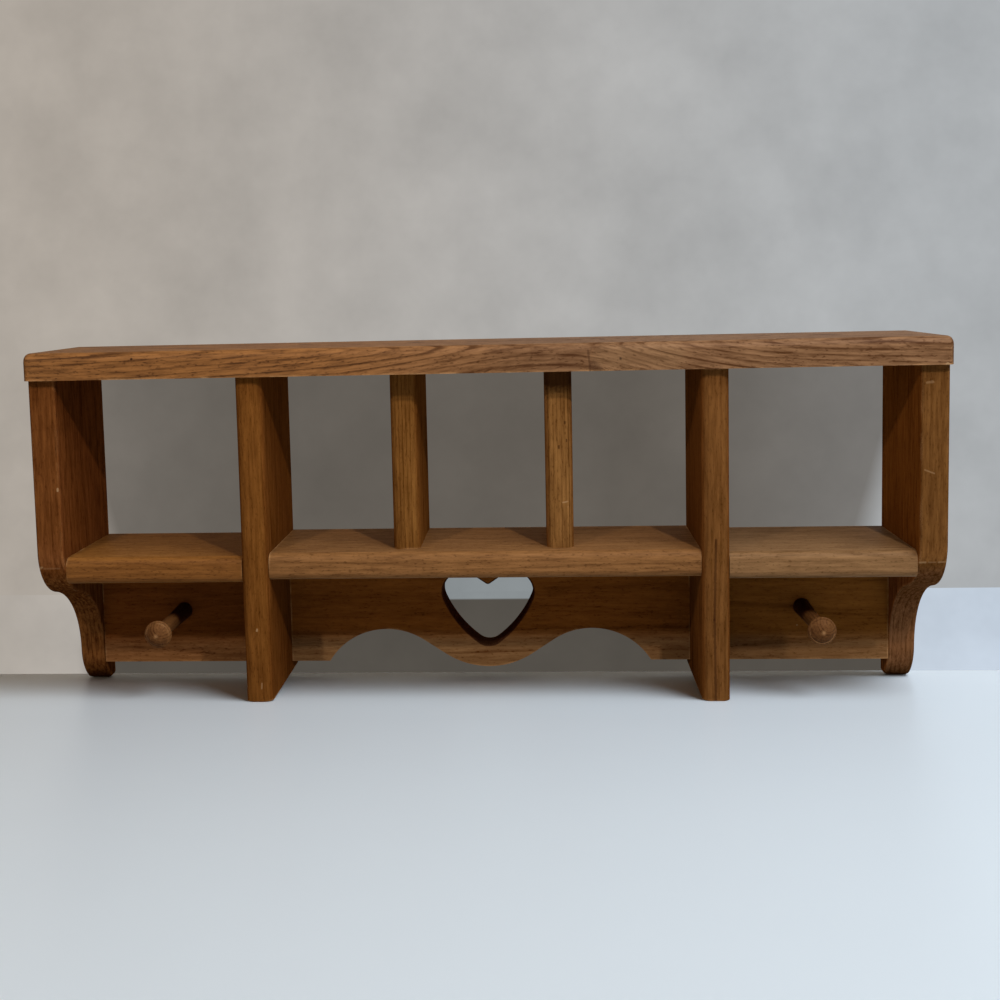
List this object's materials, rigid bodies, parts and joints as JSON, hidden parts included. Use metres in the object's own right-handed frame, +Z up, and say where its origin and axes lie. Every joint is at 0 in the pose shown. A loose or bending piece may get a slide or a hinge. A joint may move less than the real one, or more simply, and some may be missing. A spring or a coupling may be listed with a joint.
{
  "type": "wall curio shelf",
  "caption": "Stained pine wall shelf: open bays under a top board, ogee end panels, a scalloped lower rail with a heart cut-out, and turned pegs for hanging.",
  "frame": {"origin": "under the middle of the shelf, level with the lowest points of the end panels' feet", "axes": "+X to the right as seen from the front, +Y back towards the wall, +Z up"},
  "size_m": [0.63, 0.095, 0.258],
  "materials": {
    "stained_pine": "satin",
    "stained_peg": "satin",
    "dowel_wood": "matte"
  },
  "bodies": {
    "root": {"top_board": "stained_pine", "left_end_panel": "stained_pine", "right_end_panel": "stained_pine", "left_long_divider": "stained_pine", "right_long_divider": "stained_pine", "left_short_divider": "stained_pine", "right_short_divider": "stained_pine", "left_shelf": "stained_pine", "center_shelf": "stained_pine", "right_shelf": "stained_pine", "left_peg_rail": "stained_pine", "heart_rail": "stained_pine", "right_peg_rail": "stained_pine", "left_peg": "stained_peg", "right_peg": "stained_peg", "panel_top_dowels": "dowel_wood", "long_divider_top_dowels": "dowel_wood", "short_divider_top_dowels": "dowel_wood", "short_divider_foot_dowels": "dowel_wood", "shelf_end_dowels": "dowel_wood", "shelf_through_dowels": "dowel_wood", "rail_end_dowels": "dowel_wood", "rail_through_dowels": "dowel_wood"}
  },
  "joints": []
}
